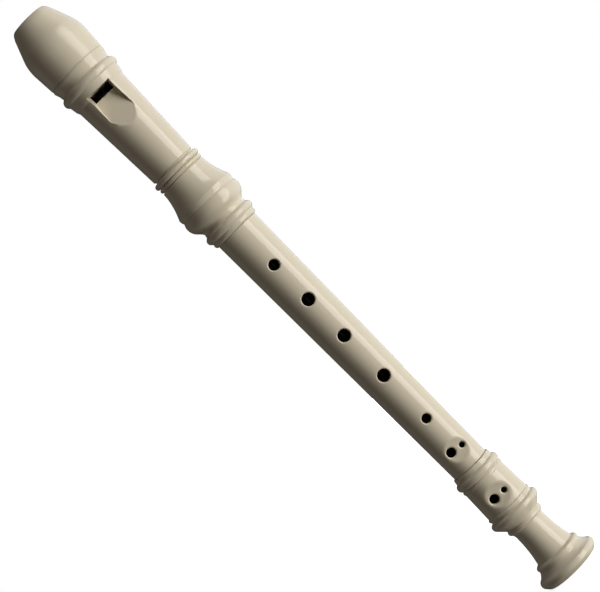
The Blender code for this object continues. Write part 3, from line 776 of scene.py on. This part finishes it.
def pocket_outline(skin, end_radius, across_steps, side_steps):
    """The pocket's edge seen from the front, from its top right corner round by the left."""
    def over(across, up):
        return skin(across, up) - ramp_front(up, end_radius)

    def shares(low, high, steps):
        return [low + (high - low) * k / steps for k in range(steps)]

    bottom = LABIUM - RAMP_LENGTH
    left, right = [crossing(bottom, LABIUM, lambda up: over(wall_at(up, flare), up))
                   for flare in (LEFT_FLARE, RIGHT_FLARE)]
    top_steps = [1 - 2 * k / across_steps for k in range(across_steps)]
    edge = [(wall_at(WINDOW_TOP) * share, WINDOW_TOP) for share in top_steps]
    edge += [(-wall_at(up), up) for up in shares(WINDOW_TOP, left, side_steps)]
    for across in shares(-wall_at(left), wall_at(right, RIGHT_FLARE), across_steps):
        up = crossing(bottom - OVERRUN, max(left, right) + OVERRUN, lambda z: over(across, z))
        edge.append((across, up))
    return edge + [(wall_at(up, RIGHT_FLARE), up) for up in shares(right, WINDOW_TOP, side_steps)]


def pocket_rings(rim, edge, skin, end_radius):
    """Rings from the patch's rim over the pocket's rolled edge and down to the ramp's floor."""
    count = len(edge)
    starts = [seen_from(FRONT, vert.co) for vert in rim]
    outs, rolls, leans = [], [], []
    for k, (across, up) in enumerate(edge):
        before, after = edge[k - 1], edge[(k + 1) % count]
        along = Vector((after[0] - before[0], after[1] - before[1])).normalized()
        outs.append((along.y, -along.x))
        depth = skin(across, up) - ramp_front(up, end_radius)
        side, top = along.y, max(-along.x, 0.0)
        rolls.append(min(POCKET_ROLL + (TOP_ROLL - POCKET_ROLL) * top, max(depth, 0.0) / 2))
        lean = TOP_LEAN * top + (RIGHT_LEAN * side if side > 0 else -LEFT_LEAN * side)
        leans.append(lean * max(depth - rolls[-1], 0.0))

    def ring(sine, share=1.0):
        points = []
        for start, place, out, roll, lean in zip(starts, edge, outs, rolls, leans):
            off = roll * (1 - sine) + lean
            across, up = (near + (far + way * off - near) * share
                          for near, far, way in zip(start, place, out))
            sink = roll * (1 - math.sqrt(1 - sine**2))
            points.append(Vector((across, sink - skin(across, up), up)))
        return points

    rings = [ring(0.0, share) for share in (0.2, 0.4, 0.6, 0.8, 1.0)]
    rings += [ring(math.sin(math.pi / 2 * k / ROLL_STEPS)) for k in range(1, ROLL_STEPS + 1)]
    for step in (0.0, FLOOR_STEP):
        floor = [(across - out[0] * step, up - out[1] * step) for (across, up), out in zip(edge, outs)]
        rings.append([Vector((across, -ramp_front(up, end_radius), up)) for across, up in floor])
    return rings


# %% [markdown]
# The patch's rim has to start at the same corner as the pocket's edge, with as many points on
# each side, or the rings would twist.

# %% The head
def from_corner(rim):
    """Turns a rim's list of points so that it starts at its top right corner."""
    flat = [seen_from(FRONT, vert.co) for vert in rim]
    top = max(up for across, up in flat)
    start = max((k for k, place in enumerate(flat) if place[1] > top - MERGE), key=lambda k: flat[k][0])
    return rim[start:] + rim[:start]


def windway(side, up):
    """A point of the windway's roof or floor at a height, as (y, z)."""
    at_window, at_tip = side
    front = at_window + (at_tip - at_window) * (up - WINDOW_TOP) / (BEAK_TIP - WINDOW_TOP)
    return -front, up


pocket_low, pocket_high = LABIUM - RAMP_LENGTH - PATCH_UNDER, WINDOW_TOP + PATCH_OVER
head_outline = ruled(head_outline, pocket_low, pocket_high)
head_skin = skin_of(head_outline)
ramp_end = head_skin(0.0, LABIUM - RAMP_LENGTH)
head = turned("head_joint", head_outline)
shape = opened(head)
patch_side = column_at(wall_at(LABIUM - RAMP_LENGTH) + PATCH_BESIDE, ramp_end)
rim = from_corner(open_patch(shape, FRONT, (-patch_side, patch_side), (pocket_low, pocket_high)))
across_steps = round(2 * patch_side / COLUMN)
side_steps = len(rim) // 2 - across_steps
edge = pocket_outline(head_skin, ramp_end, across_steps, side_steps)
fill_rings(shape, rim, pocket_rings(rim, edge, head_skin, ramp_end))
store(shape, head.data)
above = BEAK_TIP + OVERRUN
undercut_end = LABIUM - UNDERCUT_LENGTH
channel = prism("windway", [windway(WINDWAY_ROOF, above), windway(WINDWAY_ROOF, WINDOW_TOP),
                            (-WINDWAY_ROOF[0], LABIUM), (LABIUM_THICKNESS - LABIUM_FRONT, LABIUM),
                            (-UNDERCUT_DEPTH, undercut_end), (0.0, undercut_end), (0.0, above)],
                WINDWAY_HALF_WIDTH)
carve(head, [bore_cutter("head", head_bore), channel])
shade(head)

# %% [markdown]
# The mouthpiece is turned round, then its back is cut away in a curve so that the lips can close
# on it. Instead of a Boolean, every ring of the turning is reshaped to a D: of the distances from
# a middle point to the circle and to the flat, the smaller one counts, with a soft change between
# them. That rounds the cut's edge all the way.

# %% The mouthpiece
CUT_BACK = 1.0 * MM
CUT_LENGTH = 25.2 * MM
CUT_DEPTH = 13.4 * MM
CUT_BLEND = 1.1 * MM
LIP_ROUND = 0.7 * MM
SOCKET_CLEAR = 0.6 * MM
TIP_SLACK = 0.2


def reshaped(point, outside):
    """Moves a point of the turned shell onto the shell that is cut away behind."""
    up = point.z
    radius = math.hypot(point.x, point.y)
    in_socket = radius < socket + SOCKET_CLEAR and up < socket_floor + MERGE
    if up < BEAK_TIP - CUT_LENGTH - CUT_BLEND or in_socket:
        return point
    outer = float(np.interp(up, outside[:, 1], outside[:, 0]))
    flat = CUT_BACK + CUT_DEPTH * ((BEAK_TIP - up) / CUT_LENGTH) ** 2
    near = min(1.0, max(0.0, (up - BEAK_TIP + LIP_ROUND) / LIP_ROUND))
    flat -= LIP_ROUND * (1 - math.sqrt(1 - near**2))
    middle = min(0.0, (flat - outer) / 2)
    if radius < MERGE:
        return Vector((0.0, middle, up))
    x, y = point.x / radius, point.y / radius
    circle = -middle * y + math.sqrt((middle * y) ** 2 + outer**2 - middle**2)
    reach = smooth_least(circle, (flat - middle) / y, CUT_BLEND) if y > 0 else circle
    reach *= radius / outer
    return Vector((x * reach, middle + y * reach, up))


beak = turned("mouthpiece", beak_outline)
from_bend = np.abs(beak_outline - (socket, BEAK_BOTTOM)).sum(1)
before_bend = beak_outline[:int(np.argmin(from_bend))]
outside = before_bend[before_bend[:, 0] >= (TIP_RADIUS - TIP_SLACK) * MM][::-1]
shape = opened(beak)
for vert in shape.verts:
    vert.co = reshaped(vert.co, outside)
store(shape, beak.data)
slot_low, slot_high = SPIGOT_TOP, BEAK_TIP + SEAT_GAP
corners = [windway(WINDWAY_ROOF, slot_low), windway(WINDWAY_ROOF, slot_high),
           windway(WINDWAY_FLOOR, slot_high), windway(WINDWAY_FLOOR, slot_low)]
slot = prism("windway mouth", corners, WINDWAY_HALF_WIDTH)
carve(beak, [slot])
shade(beak)

# %% [markdown]
# The seal rings are turned from a closed section with two lips, which is how an elastic ring
# keeps a joint airtight while it still slides and turns.

# %% The seal rings
LIP_HEIGHT = 0.14 * MM
SEAL_CORNER = 0.04 * MM


def seal_section(tenon, high):
    """A ring's section: a straight back in the groove and two rounded lips outside."""
    inner = tenon - SEAL_THICKNESS
    outer = tenon + SLIDING_GAP - SEAL_GAP
    top, bottom = high - SEAL_GAP, high - SEAL_WIDTH + SEAL_GAP
    start = (inner, (top + bottom) / 2)
    waist = outer - LIP_HEIGHT
    rise = (top - bottom) / 4
    return section([start, (inner, top), (waist, top), (outer, top - rise, "round"),
                    (waist, top - 2 * rise), (outer, bottom + rise, "round"), (waist, bottom),
                    (inner, bottom), start], SEAL_CORNER)


upper_seal = turned("upper_seal_ring", seal_section(UPPER_TENON, upper_groove), BORE_SEGMENTS)
lower_seal = turned("lower_seal_ring", seal_section(LOWER_TENON, lower_groove), BORE_SEGMENTS)
shade(upper_seal)
shade(lower_seal)

# %% [markdown]
# Polished ABS is not one flat colour: the tone drifts a little, fine wiping marks change the
# gloss, and the skin has a ripple that only a reflection shows. Inside a radius that each tube
# names, the bore's walls get painted shade, a dark colour in place of the shade deep in the bore, so the
# holes show black. One shader group does it all.

# %% A shader group for moulded plastic
# Painted shade: the dark colour that the bore's walls take inside the given radius, in place of the shade
# deep in the bore.
PAINTED_BORE_SHADE = (0.05, 0.042, 0.032, 1.0)
PAINTED_SHADE_FADE = 0.3 * MM
RIPPLE_HEIGHT = 0.01 * MM
TONE_NOISE = (34.0, 4.0)
WIPING_NOISE = (420.0, 6.0, (1.0, 1.0, 0.12))
RIPPLE_NOISE = (520.0, 2.0, (1.0, 1.0, 0.5))


def scaled(tree, value, low, high, from_value=0.0, to_value=1.0):
    """A smooth Map Range node from low..high to from_value..to_value."""
    feeds = {"Value": value, "From Min": low, "From Max": high, "To Min": from_value, "To Max": to_value}
    return node(tree, "ShaderNodeMapRange", feeds, interpolation_type="SMOOTHSTEP").outputs["Result"]


def length_of(tree, vector):
    """The length of a vector."""
    return node(tree, "ShaderNodeVectorMath", {0: vector}, operation="LENGTH").outputs["Value"]


def make_skin_group():
    """A group that puts out a drifting colour with painted shade inside the bore, a wiped roughness and a
    rippled normal.
    """
    numbers = dict.fromkeys(("Drift", "Roughness", "Wiping", "Ripple", "Bore"), "Float")
    takes = {"Colour": "Color", "Deep colour": "Color", **numbers}
    gives = {"Colour": "Color", "Roughness": "Float", "Normal": "Vector"}
    tree, given = new_group("Moulded skin", "ShaderNodeTree", takes, gives)[:2]
    place = node(tree, "ShaderNodeTexCoord").outputs["Object"]

    def noise(scale, detail, stretch=(1.0, 1.0, 1.0)):
        mapping = node(tree, "ShaderNodeMapping", {"Vector": place, "Scale": stretch})
        feeds = {"Vector": mapping.outputs[0], "Scale": scale, "Detail": detail}
        return node(tree, "ShaderNodeTexNoise", feeds).outputs["Fac"]

    drift = sum_node(tree, "MULTIPLY", noise(*TONE_NOISE), given["Drift"])
    tone = node(tree, "ShaderNodeMix", {"Factor": drift, "A": given["Colour"], "B": given["Deep colour"]},
                data_type="RGBA")
    flat = node(tree, "ShaderNodeVectorMath", {0: place, 1: (1.0, 1.0, 0.0)}, operation="MULTIPLY")
    # Painted shade: inside the bore radius the colour turns to the dark bore colour, with a soft change.
    outside = sum_node(tree, "SUBTRACT", length_of(tree, flat.outputs[0]), given["Bore"])
    shade_painted = node(tree, "ShaderNodeMix", {"Factor": scaled(tree, outside, -PAINTED_SHADE_FADE, PAINTED_SHADE_FADE),
                                         "A": PAINTED_BORE_SHADE, "B": tone.outputs["Result"]}, data_type="RGBA")
    marks = sum_node(tree, "SUBTRACT", noise(*WIPING_NOISE), 0.5)
    wiped = sum_node(tree, "MULTIPLY", marks, given["Wiping"])
    bump = node(tree, "ShaderNodeBump", {"Distance": RIPPLE_HEIGHT, "Strength": given["Ripple"],
                                         "Height": noise(*RIPPLE_NOISE)})
    node(tree, "NodeGroupOutput", {"Colour": shade_painted.outputs["Result"], "Normal": bump.outputs[0],
                                   "Roughness": sum_node(tree, "ADD", given["Roughness"], wiped)})
    return tree


SKIN = make_skin_group()

# %% [markdown]
# Each piece gets its own material from the group, because mouldings come from different shots
# and never match to the last shade. The seals share one, a matt black elastomer with a bloom of
# grey. One refractive index serves both.

# %% Plastic and rubber
REFRACTION = 1.5
IVORY = {"Colour": (0.74, 0.688, 0.548, 1.0), "Deep colour": (0.655, 0.586, 0.43, 1.0),
         "Drift": 0.35, "Wiping": 0.05, "Ripple": 0.15}
BLACK = {"Colour": (0.012, 0.012, 0.013, 1.0), "Deep colour": (0.05, 0.048, 0.046, 1.0),
         "Drift": 0.5, "Wiping": 0.3, "Ripple": 0.6}
POLISHED, HANDLED, SATIN, MATT = 0.115, 0.23, 0.3, 0.55
# Radii inside which each tube's bore gets painted shade.
FOOT_PAINTED_SHADE, MIDDLE_PAINTED_SHADE, HEAD_PAINTED_SHADE = 6.0 * MM, 6.9 * MM, 7.2 * MM


def finish(name, look, roughness, bore=0.0):
    """A material whose varying parts come from the shared group, painted shade inside the bore included."""
    made = bpy.data.materials.new(name)
    made.use_nodes = True
    tree = made.node_tree
    feeds = {**look, "Roughness": roughness, "Bore": bore}
    skin = node(tree, "ShaderNodeGroup", feeds, node_tree=SKIN).outputs
    feed(tree, tree.nodes["Principled BSDF"], {"Base Color": skin["Colour"], "Roughness": skin["Roughness"],
                                               "Normal": skin["Normal"], "IOR": REFRACTION})
    return made


def dress(piece, look):
    """Gives a piece one material."""
    piece.data.materials.clear()
    piece.data.materials.append(look)


dress(foot, finish("foot_plastic", IVORY, POLISHED, FOOT_PAINTED_SHADE))
dress(middle, finish("middle_plastic", IVORY, POLISHED, MIDDLE_PAINTED_SHADE))
dress(head, finish("head_plastic", IVORY, POLISHED, HEAD_PAINTED_SHADE))
dress(beak, finish("beak_plastic", IVORY, HANDLED))
dress(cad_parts["windway_block"], finish("block_plastic", IVORY, SATIN))
seal_rubber = finish("seal_rubber", BLACK, MATT)
dress(upper_seal, seal_rubber)
dress(lower_seal, seal_rubber)

# %% [markdown]
# Each dressed piece rides on the body of the measured one that it replaces.
# The block keeps its measured solid, because only its lower end shows in the window.

# %% Join the pieces to the frame
for piece, body, node_name, slot_name in (
    (foot, "foot", "foot_tube", "foot_plastic"),
    (lower_seal, "lower_seal", "lower_tenon_seal", "seal_rubber"),
    (middle, "middle", "middle_tube", "middle_plastic"),
    (upper_seal, "upper_seal", "upper_tenon_seal", "seal_rubber"),
    (head, "head", "head_tube", "head_plastic"),
    (beak, "head", "beak_cap", "beak_plastic"),
):
    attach(piece, body)
    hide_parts(node_name)
    print(piece.name, "rides on", body)

# %% [markdown]
# The camera sees the floor as white, as in a product photograph, and it still darkens under the
# bell: its own white is less near the recorder, where lamplight fills the rest, so only the
# shadow stays grey.

# %% Floor
FLOOR_HALF = 2.5
SHADOW_NEAR = 0.05
SHADOW_FAR = 0.35
WHITE_NEAR = 0.85
WHITE = (1.0, 1.0, 1.0, 1.0)
PAPER = (0.8, 0.8, 0.8, 1.0)

floor_mesh = bpy.data.meshes.new("floor")
corners = [(x * FLOOR_HALF, y * FLOOR_HALF, 0.0) for x, y in ((-1, -1), (1, -1), (1, 1), (-1, 1))]
floor_mesh.from_pydata(corners, [], [(0, 1, 2, 3)])
floor = link_object("floor", floor_mesh)
paper = bpy.data.materials.new("floor_paper")
paper.use_nodes = True
tree = paper.node_tree
matt = node(tree, "ShaderNodeBsdfDiffuse", {"Color": PAPER}).outputs[0]
away = length_of(tree, node(tree, "ShaderNodeTexCoord").outputs["Object"])
glow = scaled(tree, away, SHADOW_NEAR, SHADOW_FAR, WHITE_NEAR, 1.0)
white = node(tree, "ShaderNodeEmission", {"Strength": glow}).outputs[0]
ray = node(tree, "ShaderNodeLightPath").outputs
seen = node(tree, "ShaderNodeMixShader", {"Fac": ray["Is Camera Ray"], 2: white}).outputs[0]
both = node(tree, "ShaderNodeAddShader", {0: seen, 1: matt}).outputs[0]
feed(tree, tree.nodes["Material Output"], {"Surface": both})
dress(floor, paper)
floor.visible_glossy = False
floor.visible_diffuse = False
floor.visible_shadow = False

# %% [markdown]
# The world is white for the camera. Glossy rays see that white too, but only behind the
# recorder's right side, as if a black card stood on the left to give it a dark edge. For all
# other rays the room is dim, so that the light on the plastic comes from the softbox.

# %% Room
AMBIENT = 0.07
AMBIENT_GLOSS = 0.008
CAMERA_AZIMUTH = math.radians(-5.0)
WHITE_FROM_CAMERA = math.radians(115.0)
CARD_EDGE = (0.45, 0.8)
GLOSS_WHITE = 1.2
ROOM_COLOUR = (1.0, 0.88, 0.79, 1.0)


def facing(azimuth):
    """The level direction at an azimuth, which is 0 towards the front and grows to the right."""
    return Vector((math.sin(azimuth), -math.cos(azimuth), 0.0))


world = bpy.data.worlds.new("studio")
bpy.context.scene.world = world
world.use_nodes = True
tree = world.node_tree
room = tree.nodes["Background"]
ray = node(tree, "ShaderNodeLightPath").outputs
dim = sum_node(tree, "MULTIPLY", ray["Is Glossy Ray"], AMBIENT - AMBIENT_GLOSS)
feed(tree, room, {"Color": ROOM_COLOUR, "Strength": sum_node(tree, "SUBTRACT", AMBIENT, dim)})
way = node(tree, "ShaderNodeTexCoord").outputs["Generated"]
toward = node(tree, "ShaderNodeVectorMath", {0: way, 1: facing(CAMERA_AZIMUTH + WHITE_FROM_CAMERA)},
              operation="DOT_PRODUCT").outputs["Value"]
card = scaled(tree, toward, *CARD_EDGE, 0.0, GLOSS_WHITE)
gloss = sum_node(tree, "MULTIPLY", ray["Is Glossy Ray"], card)
direct = sum_node(tree, "MAXIMUM", ray["Is Camera Ray"], ray["Is Transmission Ray"])
shown = sum_node(tree, "MAXIMUM", direct, gloss)
backdrop = node(tree, "ShaderNodeBackground", {"Color": WHITE, "Strength": shown}).outputs[0]
plain = node(tree, "ShaderNodeMixShader", {"Fac": direct, 1: room.outputs[0]}).outputs[0]
whole = node(tree, "ShaderNodeAddShader", {0: plain, 1: backdrop}).outputs[0]
feed(tree, tree.nodes["World Output"], {"Surface": whole})

# %% [markdown]
# The highlight in the photograph is one straight band 21 to 38 degrees round from the camera, so
# the lamp that it mirrors stands twice as far round, from 42 to 76 degrees. A tall softbox there
# gives the band, the bright right side and the dark left side in one go. Two weak fills, behind
# and on the left, lift the shadows and stay out of the reflections.

# %% Lamps
KEY_FROM_CAMERA = math.radians(58.6)
KEY_DISTANCE = 0.9
KEY_WIDTH, KEY_HEIGHT = 0.55, 2.0
KEY_CENTRE = -0.1
KEY_POWER = 12.7
KEY_COLOUR = (1.0, 0.965, 0.93)
FILLS = (("back_fill", math.radians(177.0), 13.0), ("left_fill", math.radians(-120.0), 2.3))
FILL_DISTANCE = 1.6
FILL_SIZE = (0.9, 1.2)


def softbox(name, azimuth, distance, centre, size, power, colour=WHITE[:3]):
    """A soft lamp that looks level at the recorder's axis, with its centre at a height."""
    lamp = bpy.data.lights.new(name, "AREA")
    lamp.shape = "RECTANGLE"
    lamp.size, lamp.size_y = size
    lamp.energy = power
    lamp.color = colour
    made = link_object(name, lamp)
    made.location = Vector((0.0, 0.0, centre)) + facing(azimuth) * distance
    made.rotation_euler = (-facing(azimuth)).to_track_quat("-Z", "Y").to_euler()
    made.visible_camera = False
    return made


softbox("key_softbox", CAMERA_AZIMUTH + KEY_FROM_CAMERA, KEY_DISTANCE, KEY_CENTRE,
        (KEY_WIDTH, KEY_HEIGHT), KEY_POWER, KEY_COLOUR)
for name, from_camera, power in FILLS:
    fill = softbox(name, CAMERA_AZIMUTH + from_camera, FILL_DISTANCE, BEAK_TIP / 2, FILL_SIZE, power)
    fill.visible_glossy = False

# %% [markdown]
# The camera stands a metre away with a long lens, a little to the left of the holes and just
# above the middle, and it is rolled so that the recorder runs from corner to corner. The rings
# curve one way near the bell and the other way near the tip, which tells its height.

# %% Camera
CAMERA_DISTANCE = 1.0
CAMERA_HEIGHT = 180.0 * MM
LOOK_HEIGHT = 163.0 * MM
LOOK_ACROSS = -0.67 * MM
ROLL = math.radians(-44.82)
LENS = 141.9
CLIP_END = 20.0

camera = bpy.data.cameras.new("camera")
camera.lens = LENS
camera.clip_end = CLIP_END
viewer = link_object("camera", camera)
place = facing(CAMERA_AZIMUTH) * CAMERA_DISTANCE + Vector((0.0, 0.0, CAMERA_HEIGHT))
right = Vector((math.cos(CAMERA_AZIMUTH), math.sin(CAMERA_AZIMUTH), 0.0))
target = Vector((0.0, 0.0, LOOK_HEIGHT)) + right * LOOK_ACROSS
look = (target - place).to_track_quat("-Z", "Y").to_matrix().to_4x4()
viewer.matrix_world = Matrix.Translation(place) @ look @ Matrix.Rotation(ROLL, 4, "Z")
bpy.context.scene.camera = viewer
bpy.context.scene.view_settings.view_transform = "Standard"
